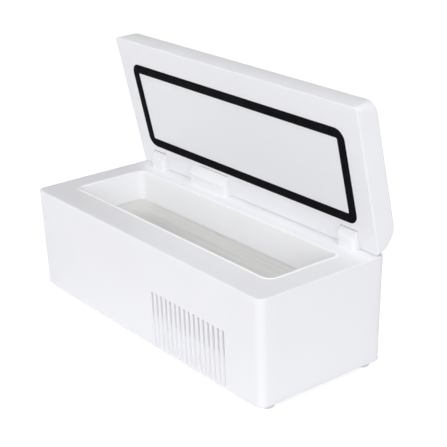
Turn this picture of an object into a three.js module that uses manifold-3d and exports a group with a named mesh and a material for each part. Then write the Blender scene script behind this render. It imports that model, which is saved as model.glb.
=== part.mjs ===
// Portable insulin cooling case: a white box whose top holds a metal-floored well, a hinged lid with a
// black seal, and, below the well, a thermoelectric cooler with its fan, two cells and the electronics.
// Millimetres, +Z up, +X to the right along the length, +Y to the back, where the hinge is.
// The origin is the centre of the bottom cover's flat underside. The lid stands open.
import * as THREE from 'three';
import { mergeVertices } from 'three/addons/utils/BufferGeometryUtils.js';
import Module from 'manifold-3d';

const wasm = await Module();
wasm.setup();

// Clearances
const seat_gap = 0.1;
const fit_gap = 0.3;
const running_gap = 0.4;
const cut_margin = 1;

// Outer case
const case_length = 200;
const case_width = 81.2;
const case_height = 57.7;
const case_wall = 2.6;
const case_draft = 1.1;
const deck_thickness = 2.4;
const case_corner_radius = 4.4;
const case_top_radius = 1.2;
const case_bottom_radius = 0.6;
const boss_radius = 3.4;
const boss_inset_x = 16;
const boss_inset_y = 9.2;

// Vents through the front and the rear wall, in line with the cooler
const cooler_inset = 59.3;
const vent_count = 16;
const vent_pitch = 4.04;
const vent_width = 1.8;
const vent_bottom = 0.8;
const vent_top = 31.6;
const vent_corner = 0.7;

// Well and its metal floor
const well_length = 169.6;
const well_width = 45.9;
const well_centre_y = -0.6;
const well_depth = 17;
const well_corner_radius = 7;
const well_draft = 0.8;
const liner_wall = 1.5;
const lip_width = 2.4;
const lip_height = 0.35;
const plate_thickness = 1.5;

// Thermoelectric stack under the well
const block_length = 56;
const block_width = 38;
const peltier_size = 40;
const peltier_width = 37;
const peltier_thickness = 3.8;
const sink_width = 60;
const sink_base = 3.5;
const sink_clearance = 5.2;
const fin_height = 10;
const fin_count = 16;
const fin_thickness = 1.2;
const fin_pitch = 4.1;
const clamp_spacing = 48;
const clamp_radius = 1.3;
const clamp_head_radius = 2.6;
const clamp_head_height = 2;
const clamp_cover = 3.2;
const sensor_offset = 48.7;
const sensor_radius = 2.5;
const sensor_height = 4.5;

// Fan
const fan_size = 50;
const fan_height = 10;
const fan_bore_radius = 23.4;
const fan_hole_spacing = 40;
const fan_hole_radius = 2.2;
const fan_hub_radius = 11;
const fan_strut_width = 3;
const fan_floor = 1.5;
const fan_post_radius = 2.5;
const rotor_hub_wall = 1.2;
const blade_count = 7;
const blade_reach = 21.6;
const blade_chord = 10;
const blade_thickness = 1;
const blade_pitch_deg = 38;

// Bottom cover
const cover_thickness = 2;
const skirt_height = 17.6;
const skirt_thickness = 1.6;
const pad_height = 4;
const pad_radius = 5;
const screw_radius = 1.3;
const screw_head_radius = 2.7;
const screw_head_height = 1.8;
const screw_head_chamfer = 0.5;
const screw_length = 9;
const grille_ring_width = 3;
const grille_ring_count = 3;
const grille_rib = 2.6;
const foot_radius = 3.6;
const foot_height = 2.8;
const foot_chamfer = 0.7;
const foot_inset_x = 6.4;
const foot_inset_y = 9;

// Cells and boards
const cell_radius = 9.2;
const cell_length = 65;
const cell_nub_radius = 3;
const cell_nub_height = 1;
const cell_start_gap = 0.6;
const cradle_thickness = 2;
const cradle_height = 7;
const cradle_inset = 11;
const board_length = 62;
const board_width = 21;
const board_thickness = 1.6;
const board_standoff = 5;
const coil_radius = 5;
const coil_height = 6;
const capacitor_radius = 2.5;
const capacitor_height = 8;
const capacitor_pitch = 6.4;
const driver_size = 5;
const driver_height = 1.5;
const connector_size = 7;
const connector_height = 5;
const part_gap = 2;
const standoff_radius = 2.4;
const socket_offset_x = 17;
const socket_width = 9;
const socket_depth = 13;
const socket_height = 11;
const socket_barrel_radius = 4.2;
const socket_bore_radius = 3.2;
const socket_pin_radius = 1;
const socket_bore_depth = 9;

// Hinge
const hinge_inset = 3.3;
const hinge_rise = 3.9;
const pin_radius = 1.2;
const pin_overhang = 6.5;
const ear_width = 12.4;
const ear_inset = 19.4;
const duct_width = 30.5;
const duct_centre_x = -30.8;
const ear_front = 6.8;
const ear_crease = 2.1;
const ear_reach = 7.2;
const duct_reach = 9.1;
const ear_slope_deg = 60;
const ear_back = 2.8;
const ear_back_top = 2.4;
const notch_lead_deg = 8;
const notch_back_top = 1.2;
const open_angle_deg = 77.8;

// Lid
const lid_thickness = 13.6;
const lid_setback = 2;
const lid_gap = 1.2;
const lid_wall = 2.2;
const lid_frame = 2.4;
const lid_rear_radius = 9.6;
const lid_top_radius = 2.4;
const lid_inner_radius = 1.8;
const lid_corner_radius = 6.5;
const lid_mouth_corner_radius = 2.2;
const panel_thickness = 1.4;
const panel_ledge = 2;
const panel_corner_radius = 4;
const gasket_width = 5.5;
const gasket_height = 0.6;
const gasket_offset = 0.7;
const gasket_shift = 1;
const gasket_outer_radius = 7;
const gasket_inner_radius = 1.2;

// Display and buttons on the lid's outer face
const display_from_front = 33;
const window_length = 48;
const window_width = 24;
const window_thickness = 1.2;
const window_ledge = 2;
const lcd_thickness = 2.2;
const control_length = 86;
const control_width = 36;
const control_thickness = 1.2;
const control_post_inset = 3.5;
const control_post_radius = 1.8;
const button_radius = 3.6;
const button_flange = 1;
const button_flange_height = 0.6;
const button_proud = 0.8;
const button_travel = 0.7;
const button_pitch = 11;
const button_from_window = 10;
const switch_size = 6;

// Facet counts
const corner_steps = 5;
const edge_steps = 3;
const round_steps = 24;
const small_steps = 12;

const half_length = case_length / 2;
const half_width = case_width / 2;
const inner_x = half_length - case_wall;
const inner_y = half_width - case_wall;
const hinge_y = half_width - hinge_inset;
const hinge_z = case_height + hinge_rise;
const cooler_x = half_length - cooler_inset;
const sensor_x = cooler_x - sensor_offset;
const ear_centre_x = half_length - ear_inset;

// Points of a rectangle with rounded corners, counter-clockwise.
function roundedOutline(x0, x1, y0, y1, radius, steps = corner_steps) {
  const centres = [
    [x1 - radius, y1 - radius],
    [x0 + radius, y1 - radius],
    [x0 + radius, y0 + radius],
    [x1 - radius, y0 + radius],
  ];
  const points = [];
  centres.forEach(([x, y], quarter) => {
    for (let step = 0; step <= steps; step += 1) {
      const angle = (quarter + step / steps) * Math.PI / 2;
      points.push(new THREE.Vector2(x + radius * Math.cos(angle), y + radius * Math.sin(angle)));
    }
  });
  return points;
}

// A solid through level sections that all have the same number of points.
function loft(sections) {
  const count = sections[0].points.length;
  const positions = sections.flatMap(({ points, z }) => points.flatMap((p) => [p.x, p.y, z]));
  const index = [];
  for (let level = 0; level + 1 < sections.length; level += 1) {
    for (let i = 0; i < count; i += 1) {
      const a = level * count + i;
      const b = level * count + (i + 1) % count;
      index.push(a, b, b + count, a, b + count, a + count);
    }
  }
  const last = sections.length - 1;
  for (const [a, b, c] of THREE.ShapeUtils.triangulateShape(sections[0].points, [])) {
    index.push(c, b, a);
  }
  for (const face of THREE.ShapeUtils.triangulateShape(sections[last].points, [])) {
    index.push(...face.map((corner) => last * count + corner));
  }
  const geometry = new THREE.BufferGeometry();
  geometry.setAttribute('position', new THREE.Float32BufferAttribute(positions, 3));
  geometry.setIndex(index);
  return geometry;
}

// How far a quarter-round edge draws a side in, at a distance from the face that it runs into.
function edgeInset(distance, radius) {
  if (distance >= radius) {
    return 0;
  }
  return radius - Math.sqrt(Math.max(0, radius ** 2 - (radius - distance) ** 2));
}

// A box with rounded upright corners, a round bottom and top edge, and its own top edge at the rear. The draft
// draws its sides in towards the bottom, where the corners may have another radius.
function moulding({
  x, front, rear, z0, z1, corner, lowCorner = corner, draft = 0, bottom = 0, top = 0, rearTop = top,
}) {
  const heights = new Set([z0, z1]);
  for (let step = 1; step <= edge_steps; step += 1) {
    const rise = 1 - Math.cos(step / edge_steps * Math.PI / 2);
    heights.add(z0 + bottom * rise);
    heights.add(z1 - top * rise);
  }
  const rear_steps = rearTop > top ? 2 * edge_steps : edge_steps;
  for (let step = 1; step <= rear_steps; step += 1) {
    heights.add(z1 - rearTop * (1 - Math.cos(step / rear_steps * Math.PI / 2)));
  }
  const levels = [...heights]
    .sort((a, b) => a - b)
    .filter((z, i, all) => i === 0 || z - all[i - 1] > 0.01);
  return loft(levels.map((z) => {
    const share = (z - z0) / (z1 - z0);
    const lean = draft * (1 - share);
    const low = edgeInset(z - z0, bottom);
    const round = Math.max(low, edgeInset(z1 - z, top));
    const inset = lean + round;
    const rearInset = lean + Math.max(low, edgeInset(z1 - z, rearTop));
    const full = lowCorner + (corner - lowCorner) * share;
    const radius = Math.max(full - round, full / 4);
    return { z, points: roundedOutline(-x + inset, x - inset, front + inset, rear - rearInset, radius) };
  }));
}

function extrude(shape, depth, steps) {
  return new THREE.ExtrudeGeometry(shape, { depth, bevelEnabled: false, curveSegments: steps });
}

// Prisms of a flat shape: along Z from a plan, along X from a (y, z) profile, along Y from an (x, z) one.
function alongZ(shape, z0, z1, steps = small_steps) {
  return extrude(shape, z1 - z0, steps).translate(0, 0, z0);
}

function alongX(shape, x0, x1, steps = small_steps) {
  const turn = new THREE.Matrix4().set(0, 0, 1, x0, 1, 0, 0, 0, 0, 1, 0, 0, 0, 0, 0, 1);
  return extrude(shape, x1 - x0, steps).applyMatrix4(turn);
}

function alongY(shape, y0, y1, steps = small_steps) {
  const turn = new THREE.Matrix4().set(1, 0, 0, 0, 0, 0, -1, y1, 0, 1, 0, 0, 0, 0, 0, 1);
  return extrude(shape, y1 - y0, steps).applyMatrix4(turn);
}

function roundedRectangle(x0, x1, y0, y1, radius, steps) {
  return new THREE.Shape(roundedOutline(x0, x1, y0, y1, radius, steps));
}

function box(x0, x1, y0, y1, z0, z1) {
  return new THREE.BoxGeometry(x1 - x0, y1 - y0, z1 - z0)
    .translate((x0 + x1) / 2, (y0 + y1) / 2, (z0 + z1) / 2);
}

// An upright round bar.
function rod(radius, x, y, z0, z1, steps = small_steps) {
  return new THREE.CylinderGeometry(radius, radius, z1 - z0, steps)
    .rotateX(Math.PI / 2)
    .translate(x, y, (z0 + z1) / 2);
}

// A round bar along X.
function bar(radius, x0, x1, y, z, steps = small_steps) {
  return new THREE.CylinderGeometry(radius, radius, x1 - x0, steps)
    .rotateZ(Math.PI / 2)
    .translate((x0 + x1) / 2, y, z);
}

// A revolved piece about an upright axis, from [radius, height] points.
function revolve(profile, x, y, steps = round_steps) {
  return new THREE.LatheGeometry(profile.map(([r, z]) => new THREE.Vector2(r, z)), steps)
    .rotateX(Math.PI / 2)
    .translate(x, y, 0);
}

function solid(geometry) {
  const bare = geometry.clone();
  bare.deleteAttribute('normal');
  bare.deleteAttribute('uv');
  const merged = mergeVertices(bare);
  return new wasm.Manifold(new wasm.Mesh({
    numProp: 3,
    vertProperties: new Float32Array(merged.attributes.position.array),
    triVerts: new Uint32Array(merged.index.array),
  }));
}

function join(geometries) {
  return geometries.map(solid).reduce((all, next) => all.add(next));
}

function geometryOf(manifold) {
  const { vertProperties, triVerts } = manifold.getMesh();
  const geometry = new THREE.BufferGeometry();
  geometry.setAttribute('position', new THREE.BufferAttribute(vertProperties, 3));
  geometry.setIndex(new THREE.BufferAttribute(triVerts, 1));
  geometry.computeVertexNormals();
  return geometry;
}

function addPiece(group, name, shape, look) {
  const geometry = shape.isBufferGeometry ? shape : geometryOf(shape);
  const mesh = new THREE.Mesh(geometry, new THREE.MeshStandardMaterial(look));
  mesh.name = name;
  group.add(mesh);
}

const white_plastic = { color: 0xf0f0f3, roughness: 0.35, metalness: 0 };
const panel_plastic = { color: 0xe6e8ec, roughness: 0.4, metalness: 0 };
const black_rubber = { color: 0x17181a, roughness: 0.8, metalness: 0 };
const foot_rubber = { color: 0xdfdfe2, roughness: 0.8, metalness: 0 };
const black_plastic = { color: 0x1c1d20, roughness: 0.5, metalness: 0 };
const clear_plastic = { color: 0x20262b, roughness: 0.1, metalness: 0 };
const button_plastic = { color: 0xc9ccd2, roughness: 0.4, metalness: 0 };
const foam = { color: 0xf4f4f0, roughness: 0.9, metalness: 0 };
const aluminium = { color: 0xb9bab6, roughness: 0.35, metalness: 1 };
const steel = { color: 0xa9acb0, roughness: 0.3, metalness: 1 };
const ceramic = { color: 0xf2f0ea, roughness: 0.6, metalness: 0 };
const circuit_board = { color: 0x1d5c3a, roughness: 0.5, metalness: 0 };
const cell_wrap = { color: 0x2f6fb0, roughness: 0.35, metalness: 0 };
const lcd_glass = { color: 0x8d978d, roughness: 0.25, metalness: 0 };

// Signs of the four corners of a rectangle
const corners = [[1, 1], [-1, 1], [-1, -1], [1, -1]];
const boss_x = half_length - boss_inset_x;
const boss_y = half_width - boss_inset_y;

// Heights of the stack, worked down from the rim to the well and up from the cover to the cooler
const rim_z = case_height;
const deck_under = rim_z - deck_thickness;
const floor_z = rim_z - well_depth;
const liner_floor = floor_z - plate_thickness - seat_gap;
const liner_bottom = liner_floor - liner_wall;
const fan_bottom = cover_thickness + seat_gap;
const fan_top = fan_bottom + fan_height;
const fin_bottom = fan_top + fit_gap;
const sink_bottom = fin_bottom + fin_height;
const sink_top = sink_bottom + sink_base;
const insulation_bottom = sink_top + sink_clearance;
const peltier_bottom = sink_top + seat_gap;
const peltier_top = peltier_bottom + peltier_thickness;
const block_bottom = peltier_top + seat_gap;
const block_top = floor_z - plate_thickness - seat_gap;

// Ears that stand on the rear of the deck: two carry the pins, the wide one covers the lid's lead
const ears = [
  {
    x0: -ear_centre_x - ear_width / 2, x1: -ear_centre_x + ear_width / 2,
    reach: ear_reach, pin: 'hinge_pin_left',
  },
  { x0: duct_centre_x - duct_width / 2, x1: duct_centre_x + duct_width / 2, reach: duct_reach },
  {
    x0: ear_centre_x - ear_width / 2, x1: ear_centre_x + ear_width / 2,
    reach: ear_reach, pin: 'hinge_pin_right',
  },
];
const pins = ears.filter((ear) => ear.pin);

// Side of an ear: an upright front, a crease, a slope up to the farthest point from the hinge line, and a lower
// back. It fills the lid's pocket when the lid stands open.
function earProfile(reach) {
  const slope = THREE.MathUtils.degToRad(ear_slope_deg);
  const foot = rim_z - deck_thickness / 2;
  const profile = new THREE.Shape();
  profile.moveTo(hinge_y - ear_front, foot);
  profile.lineTo(hinge_y + ear_back, foot);
  profile.lineTo(hinge_y + ear_back, hinge_z + ear_back_top);
  profile.lineTo(hinge_y - reach * Math.cos(slope), hinge_z + reach * Math.sin(slope));
  profile.lineTo(hinge_y - ear_front, hinge_z + ear_crease);
  return profile;
}

function ventSlots() {
  const first = cooler_x - (vent_count - 1) / 2 * vent_pitch;
  const slots = [];
  for (let i = 0; i < vent_count; i += 1) {
    const x = first + i * vent_pitch;
    const slot = roundedRectangle(
      x - vent_width / 2, x + vent_width / 2, vent_bottom, vent_top, vent_corner, 1);
    for (const side of [-1, 1]) {
      const middle = side * (half_width - case_wall / 2);
      slots.push(alongY(slot, middle - case_wall, middle + case_wall));
    }
  }
  return join(slots);
}

const board_x0 = -boss_x + pad_radius + cell_start_gap;
const skirt_inner_y = inner_y - fit_gap - skirt_thickness;
const board_y1 = skirt_inner_y - fit_gap;
const board_bottom = cover_thickness + board_standoff + seat_gap;
const board_top = board_bottom + board_thickness;
const socket_x = board_x0 + socket_offset_x;
const socket_z = board_top + seat_gap + socket_height / 2;
const socket_wall_y = half_width - case_draft * (1 - socket_z / case_height);

function outerCase() {
  const shell = solid(moulding({
    x: half_length,
    front: -half_width,
    rear: half_width,
    z0: 0,
    z1: case_height,
    corner: case_corner_radius,
    draft: case_draft,
    bottom: case_bottom_radius,
    top: case_top_radius,
  }));
  const inside = alongZ(
    roundedRectangle(-inner_x, inner_x, -inner_y, inner_y, case_corner_radius - case_wall),
    -case_wall, deck_under);
  const mouth = alongZ(
    new THREE.Shape(wellSection(0, liner_wall + fit_gap).points),
    deck_under - cut_margin, rim_z + cut_margin);
  const bosses = corners.map(([sx, sy]) => rod(
    boss_radius, sx * boss_x, sy * boss_y, pad_height + seat_gap, rim_z - deck_thickness / 2));
  const pilots = corners.map(([sx, sy]) => rod(
    screw_radius + seat_gap, sx * boss_x, sy * boss_y, 0, screw_length + pad_height));
  const socket_hole = bar(socket_barrel_radius + fit_gap, 0, 3 * case_wall, 0, 0)
    .rotateZ(Math.PI / 2)
    .translate(socket_x, inner_y - case_wall, socket_z);
  const bores = pins.map((ear) => bar(
    pin_radius + seat_gap, ear.x0 - ear_width, ear.x1 + ear_width, hinge_y, hinge_z));
  const standing = ears.map((ear) => alongX(earProfile(ear.reach), ear.x0, ear.x1));
  return shell
    .subtract(solid(inside))
    .subtract(solid(mouth))
    .add(join([...bosses, ...standing]))
    .subtract(join([...pilots, ...bores, socket_hole]))
    .subtract(ventSlots());
}

// Ring slots under the fan, with four ribs left across them.
function intakeGrille() {
  const low = -cut_margin;
  const high = cover_thickness + cut_margin;
  const rings = [];
  for (let i = 0; i < grille_ring_count; i += 1) {
    const outer = fan_bore_radius - fit_gap - i * (grille_ring_width + grille_rib);
    const ring = new THREE.Shape().absarc(cooler_x, 0, outer, 0, 2 * Math.PI, false);
    const inner = outer - grille_ring_width;
    ring.holes.push(new THREE.Path().absarc(cooler_x, 0, inner, 0, 2 * Math.PI, true));
    rings.push(alongZ(ring, low, high, round_steps / 2));
  }
  const reach = fan_bore_radius;
  const ribs = join([
    box(cooler_x - reach, cooler_x + reach, -grille_rib / 2, grille_rib / 2, low, high),
    box(cooler_x - grille_rib / 2, cooler_x + grille_rib / 2, -reach, reach, low, high),
  ]);
  return join(rings).subtract(ribs);
}

const cell_x0 = board_x0;
const cell_x1 = cell_x0 + cell_length;
const cell_z = cover_thickness + fit_gap + cell_radius;
const cell_rows = [
  -skirt_inner_y + fit_gap + cell_radius,
  -skirt_inner_y + 2 * fit_gap + 3 * cell_radius,
];
const standoffs = [
  [board_x0 + 2 * standoff_radius, board_y1 - 2 * standoff_radius],
  [board_x0 + 2 * standoff_radius, board_y1 - board_width + 2 * standoff_radius],
  [board_x0 + board_length - 2 * standoff_radius, board_y1 - 2 * standoff_radius],
  [board_x0 + board_length - 2 * standoff_radius, board_y1 - board_width + 2 * standoff_radius],
];

function bottomCover() {
  const x = inner_x - fit_gap;
  const y = inner_y - fit_gap;
  const radius = case_corner_radius - case_wall - fit_gap;
  const tray = solid(alongZ(roundedRectangle(-x, x, -y, y, radius), 0, skirt_height));
  const room = alongZ(
    roundedRectangle(
      -x + skirt_thickness, x - skirt_thickness, -y + skirt_thickness, y - skirt_thickness, radius / 2),
    cover_thickness, 2 * skirt_height);
  const pads = corners.map(([sx, sy]) => rod(
    pad_radius, sx * boss_x, sy * boss_y, cover_thickness / 2, pad_height));
  const holes = corners.flatMap(([sx, sy]) => [
    rod(screw_radius + fit_gap, sx * boss_x, sy * boss_y, -cut_margin, pad_height + cut_margin),
    rod(screw_head_radius + fit_gap, sx * boss_x, sy * boss_y, -cut_margin, screw_head_height + seat_gap),
  ]);
  const peg_offset = fan_hole_spacing / 2;
  const pegs = corners.map(([sx, sy]) => rod(
    fan_hole_radius - fit_gap, cooler_x + sx * peg_offset, sy * peg_offset,
    cover_thickness / 2, fan_bottom + fan_height / 2));
  const posts = standoffs.map(([px, py]) => rod(
    standoff_radius, px, py, cover_thickness / 2, board_bottom - seat_gap));
  const cradles = [cell_x0 + cradle_inset, cell_x1 - cradle_inset].map((cx) => box(
    cx - cradle_thickness / 2, cx + cradle_thickness / 2,
    cell_rows[0] - cell_radius, cell_rows[1] + cell_radius + cradle_thickness,
    cover_thickness / 2, cover_thickness + cradle_height));
  const cell_room = cell_rows.map((row) => bar(
    cell_radius + fit_gap, cell_x0 - cell_length, cell_x1 + cell_length, row, cell_z, round_steps));
  const above_floor = box(-x, x, -y, y, cover_thickness, 2 * skirt_height);
  const cradle = join(cradles).subtract(join(cell_room).intersect(solid(above_floor)));
  const socket_notch = box(
    socket_x - socket_width / 2 - fit_gap, socket_x + socket_width / 2 + fit_gap,
    skirt_inner_y - skirt_thickness, inner_y, board_bottom - seat_gap, 2 * skirt_height);
  return tray
    .subtract(solid(room))
    .add(join([...pads, ...pegs, ...posts]))
    .add(cradle)
    .subtract(join(holes))
    .subtract(intakeGrille())
    .subtract(solid(socket_notch));
}

function coverScrew(x, y) {
  const head_top = screw_head_height;
  return revolve([
    [0, seat_gap],
    [screw_head_radius - screw_head_chamfer, seat_gap],
    [screw_head_radius, seat_gap + screw_head_chamfer],
    [screw_head_radius, head_top],
    [screw_radius, head_top],
    [screw_radius, screw_length + pad_height - 2 * screw_radius],
    [0, screw_length + pad_height - screw_radius],
  ], x, y, small_steps);
}

function foot(x, y) {
  return revolve([
    [0, -foot_height],
    [foot_radius - foot_chamfer, -foot_height],
    [foot_radius, foot_chamfer - foot_height],
    [foot_radius, 0],
    [0, 0],
  ], x, y, small_steps);
}

function wellSection(z, grow) {
  const x = well_length / 2 + grow;
  const y = well_width / 2 + grow;
  const points = roundedOutline(-x, x, well_centre_y - y, well_centre_y + y, well_corner_radius + grow);
  return { z, points };
}

// The tub's outside, grown by a clearance where a neighbour is cut to fit it.
function linerBody(grow, top) {
  return [
    wellSection(liner_bottom - grow, liner_wall - well_draft + grow),
    wellSection(top, liner_wall + grow),
  ];
}

function wellLiner() {
  const lip_under = rim_z + seat_gap / 2;
  const lip_top = rim_z + lip_height;
  const outside = loft([
    ...linerBody(0, lip_under),
    wellSection(lip_under, lip_width),
    wellSection(lip_top - lip_height / 3, lip_width),
    wellSection(lip_top, lip_width - lip_height),
  ]);
  const inside = loft([
    wellSection(liner_floor, -well_draft),
    wellSection(lip_top - lip_width / 2, 0),
    wellSection(lip_top - lip_width / 6, lip_width / 8),
    wellSection(lip_top + seat_gap, lip_width / 2),
  ]);
  const low = liner_bottom - cut_margin;
  const high = liner_floor + cut_margin;
  const window = box(
    cooler_x - block_length / 2 - fit_gap, cooler_x + block_length / 2 + fit_gap,
    -block_width / 2 - fit_gap, block_width / 2 + fit_gap, low, high);
  const sensor_hole = rod(sensor_radius + fit_gap, sensor_x, 0, low, high);
  return solid(outside)
    .subtract(solid(inside))
    .subtract(join([window, sensor_hole]));
}

function coldPlate() {
  const { points } = wellSection(0, -well_draft - fit_gap);
  return alongZ(new THREE.Shape(points), floor_z - plate_thickness, floor_z);
}

function wellInsulation() {
  const x = inner_x - fit_gap;
  const y = inner_y - fit_gap;
  const block = alongZ(
    roundedRectangle(-x, x, -y, y, case_corner_radius - case_wall),
    insulation_bottom, deck_under - fit_gap);
  const bosses = corners.map(([sx, sy]) => rod(
    boss_radius + fit_gap, sx * boss_x, sy * boss_y, 0, case_height));
  const window = box(
    cooler_x - block_length / 2 - fit_gap, cooler_x + block_length / 2 + fit_gap,
    -block_width / 2 - fit_gap, block_width / 2 + fit_gap, 0, liner_floor);
  const sensor_hole = rod(sensor_radius + fit_gap, sensor_x, 0, 0, liner_floor);
  return solid(block)
    .subtract(solid(loft(linerBody(fit_gap, case_height))))
    .subtract(join([...bosses, window, sensor_hole]));
}

const clamp_x = [cooler_x - clamp_spacing / 2, cooler_x + clamp_spacing / 2];
const clamp_top = block_top - clamp_cover;

function coldBlock() {
  const block = box(
    cooler_x - block_length / 2, cooler_x + block_length / 2,
    -block_width / 2, block_width / 2, block_bottom, block_top);
  const holes = clamp_x.map((x) => rod(clamp_radius + seat_gap, x, 0, 0, clamp_top + seat_gap));
  return solid(block).subtract(join(holes));
}

function peltierModule() {
  return box(
    cooler_x - peltier_size / 2, cooler_x + peltier_size / 2,
    -peltier_width / 2, peltier_width / 2, peltier_bottom, peltier_top);
}

// A comb profile run from front to back, cut clear round the two clamping screws.
function heatSink() {
  const first = cooler_x - (fin_count - 1) / 2 * fin_pitch - fin_thickness / 2;
  const last = first + (fin_count - 1) * fin_pitch + fin_thickness;
  const comb = new THREE.Shape();
  comb.moveTo(last, sink_top);
  comb.lineTo(first, sink_top);
  for (let i = 0; i < fin_count; i += 1) {
    const x = first + i * fin_pitch;
    comb.lineTo(x, i === 0 ? fin_bottom : sink_bottom);
    comb.lineTo(x, fin_bottom);
    comb.lineTo(x + fin_thickness, fin_bottom);
    comb.lineTo(x + fin_thickness, sink_bottom);
  }
  comb.lineTo(last, sink_bottom);
  const outline = comb.getPoints().filter((p, i, all) => i === 0 || p.distanceTo(all[i - 1]) > 0.001);
  const body = alongY(new THREE.Shape(outline), -sink_width / 2, sink_width / 2);
  const holes = clamp_x.flatMap((x) => [
    rod(clamp_radius + fit_gap, x, 0, 0, case_height),
    rod(clamp_head_radius + 2 * fit_gap, x, 0, 0, sink_bottom),
  ]);
  return solid(body).subtract(join(holes));
}

function clampScrew(x) {
  const head_top = sink_bottom - seat_gap;
  return revolve([
    [0, head_top - clamp_head_height],
    [clamp_head_radius, head_top - clamp_head_height],
    [clamp_head_radius, head_top],
    [clamp_radius, head_top],
    [clamp_radius, clamp_top],
    [0, clamp_top],
  ], x, 0, small_steps);
}

function fanFrame() {
  const half = fan_size / 2;
  const plan = roundedRectangle(cooler_x - half, cooler_x + half, -half, half, fan_hole_radius, 2);
  const low = fan_bottom - cut_margin;
  const high = fan_top + cut_margin;
  const bore = rod(fan_bore_radius, cooler_x, 0, low, high, round_steps);
  const offset = fan_hole_spacing / 2;
  const holes = corners.map(([sx, sy]) => rod(
    fan_hole_radius, cooler_x + sx * offset, sy * offset, low, high));
  const strut_top = fan_bottom + fan_floor;
  const struts = [0, 1, 2].map((i) => box(
    fan_hub_radius / 2, fan_bore_radius + cut_margin, -fan_strut_width / 2, fan_strut_width / 2,
    fan_bottom, strut_top)
    .rotateZ((i + 0.25) * 2 * Math.PI / 3)
    .translate(cooler_x, 0, 0));
  const hub = rod(fan_hub_radius, cooler_x, 0, fan_bottom, strut_top, round_steps);
  const post = rod(fan_post_radius, cooler_x, 0, fan_bottom, fan_top - 2 * rotor_hub_wall);
  return solid(alongZ(plan, fan_bottom, fan_top))
    .subtract(join([bore, ...holes]))
    .add(join([...struts, hub, post]));
}

// A cup-shaped hub over the post, with cambered blades set at one pitch round it.
function fanRotor() {
  const low = fan_bottom + fan_floor + running_gap;
  const high = fan_top - running_gap;
  const bore = fan_post_radius + running_gap;
  const hub = revolve([
    [bore, low],
    [fan_hub_radius, low],
    [fan_hub_radius, high - rotor_hub_wall],
    [fan_hub_radius - rotor_hub_wall, high],
    [0, high],
    [0, fan_top - 2 * rotor_hub_wall + running_gap],
    [bore, fan_top - 2 * rotor_hub_wall + running_gap],
    [bore, low],
  ], cooler_x, 0);
  const camber = 2 * blade_thickness;
  const section = new THREE.Shape();
  section.moveTo(-blade_chord / 2, 0);
  section.quadraticCurveTo(0, -camber, blade_chord / 2, 0);
  section.quadraticCurveTo(0, 2 * blade_thickness - camber, -blade_chord / 2, 0);
  const pitch = THREE.MathUtils.degToRad(blade_pitch_deg);
  const blades = [];
  for (let i = 0; i < blade_count; i += 1) {
    blades.push(alongX(section, fan_hub_radius - rotor_hub_wall, blade_reach, edge_steps)
      .rotateX(pitch)
      .rotateZ(i * 2 * Math.PI / blade_count)
      .translate(cooler_x, 0, (low + high) / 2));
  }
  return solid(hub).add(join(blades));
}

function batteryCell(row) {
  const edge = cell_nub_height;
  return new THREE.LatheGeometry([
    [0, 0],
    [cell_radius - edge, 0],
    [cell_radius, edge],
    [cell_radius, cell_length - cell_nub_height - edge],
    [cell_radius - edge, cell_length - cell_nub_height],
    [cell_nub_radius, cell_length - cell_nub_height],
    [cell_nub_radius, cell_length],
    [0, cell_length],
  ].map(([r, z]) => new THREE.Vector2(r, z)), round_steps)
    .rotateZ(-Math.PI / 2)
    .translate(cell_x0, row, cell_z);
}

// The power board with its lead connector, two capacitors, coil and driver, in a row from the right end.
function mainBoard() {
  const y0 = board_y1 - board_width;
  const middle = board_y1 - board_width / 2;
  const root = board_top - board_thickness / 2;
  const board = box(board_x0, board_x0 + board_length, y0, board_y1, board_bottom, board_top);
  const connector_x0 = board_x0 + board_length - part_gap - connector_size;
  const connector = box(
    connector_x0, connector_x0 + connector_size, middle - connector_size / 2, middle + connector_size / 2,
    root, board_top + connector_height);
  const capacitor_x = connector_x0 - part_gap - capacitor_radius;
  const capacitors = [-0.5, 0.5].map((row) => rod(
    capacitor_radius, capacitor_x, middle + row * capacitor_pitch, root, board_top + capacitor_height));
  const coil_x = capacitor_x - capacitor_radius - part_gap - coil_radius;
  const coil = rod(coil_radius, coil_x, middle, root, board_top + coil_height);
  const driver_x1 = coil_x - coil_radius - part_gap;
  const driver = box(
    driver_x1 - driver_size, driver_x1, middle - driver_size / 2, middle + driver_size / 2,
    root, board_top + driver_height);
  return join([board, connector, ...capacitors, coil, driver]);
}

// The power inlet: a block on the board with a round barrel in the wall, a bore and a centre pin.
function dcSocket() {
  const face = socket_wall_y - seat_gap;
  const back = inner_y - socket_depth;
  const body = box(
    socket_x - socket_width / 2, socket_x + socket_width / 2,
    back, inner_y - seat_gap, board_top + seat_gap, board_top + seat_gap + socket_height);
  const upright = (radius, y0, y1) => new THREE.CylinderGeometry(radius, radius, y1 - y0, round_steps)
    .translate(socket_x, (y0 + y1) / 2, socket_z);
  const bore_end = face - socket_bore_depth;
  const barrel = upright(socket_barrel_radius, bore_end - case_wall / 2, face);
  const bore = upright(socket_bore_radius, bore_end, face + cut_margin);
  const pin = upright(socket_pin_radius, bore_end - case_wall / 2, face - socket_pin_radius);
  return join([body, barrel]).subtract(solid(bore)).add(solid(pin));
}

function hingePin(ear) {
  const x0 = ear.x0 - pin_overhang;
  const x1 = ear.x1 + pin_overhang;
  return bar(pin_radius, x0, x1, hinge_y, hinge_z);
}

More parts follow.
